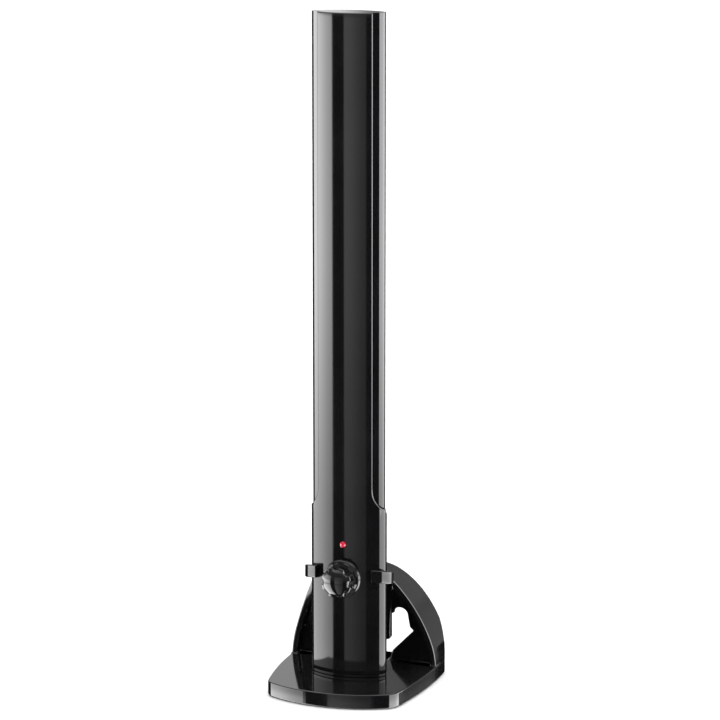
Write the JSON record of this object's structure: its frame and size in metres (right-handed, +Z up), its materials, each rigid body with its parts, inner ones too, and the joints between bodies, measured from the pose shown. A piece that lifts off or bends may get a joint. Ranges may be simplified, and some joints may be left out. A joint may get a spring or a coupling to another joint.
{
  "type": "indoor television antenna",
  "caption": "Flat oval gloss-black stick antenna with a gain knob, power light and rear F socket, held upright in a clip on an arched table stand.",
  "frame": {"origin": "bottom centre of the whole object, on the surface it stands on", "axes": "+Z up along the column, -Y is the front with the knob and light, +X is the viewer's right"},
  "size_m": [0.076, 0.08, 0.33],
  "materials": {
    "piano_black": "high gloss injection-moulded ABS with fine handling scratches",
    "satin_black": "fine spark-eroded satin texture",
    "red_lens": "tinted epoxy lens",
    "zinc_steel": "zinc plated",
    "nickel_plate": "bright nickel plate",
    "gilt_contact": "gold flash over bronze",
    "brass_sheet": "rolled brass sheet",
    "tinplate": "bright tinplate",
    "circuit_board": "green solder mask on glass-epoxy laminate",
    "ferrite": "matt sintered ferrite",
    "coax_jacket": "extruded jacket",
    "lead_wire": "PVC insulation",
    "pot_case": "moulded phenolic case with a metal bushing",
    "white_insulator": "moulded polythene",
    "plain_steel": "mill finish",
    "foot_rubber": "moulded rubber"
  },
  "bodies": {
    "stand": {"stand_body": "piano_black", "base_cover": "satin_black", "ballast_plate": "plain_steel", "base_screws": "zinc_steel", "rubber_feet": "foot_rubber"},
    "antenna": {"front_cover": "piano_black", "rear_shell": "piano_black", "top_cap": "piano_black", "bottom_cap": "piano_black", "cover_screws": "zinc_steel", "antenna_board": "circuit_board", "upper_radiator": "brass_sheet", "lower_radiator": "brass_sheet", "balun_core": "ferrite", "feed_coax": "coax_jacket", "amplifier_board": "circuit_board", "amplifier_shield": "tinplate", "board_screws": "zinc_steel", "gain_pot": "pot_case", "pot_washer": "zinc_steel", "pot_nut": "nickel_plate", "knob_bezel": "piano_black", "power_led": "red_lens", "f_socket": "nickel_plate", "socket_insulator": "white_insulator", "socket_contact": "gilt_contact", "socket_washer": "zinc_steel", "socket_nut": "nickel_plate", "socket_lead": "lead_wire"},
    "knob": {"gain_knob": "piano_black", "pot_shaft": "nickel_plate"}
  },
  "joints": [
    {"name": "antenna_lift", "type": "slide", "parent": "stand", "child": "antenna", "axis": [0, 0, 1], "range_m": [0, 0.06]},
    {"name": "gain_turn", "type": "hinge", "parent": "antenna", "child": "knob", "pos_m": [0, -0.015, 0.0575], "axis": [0, 1, 0], "range_deg": [-140, 140]}
  ]
}
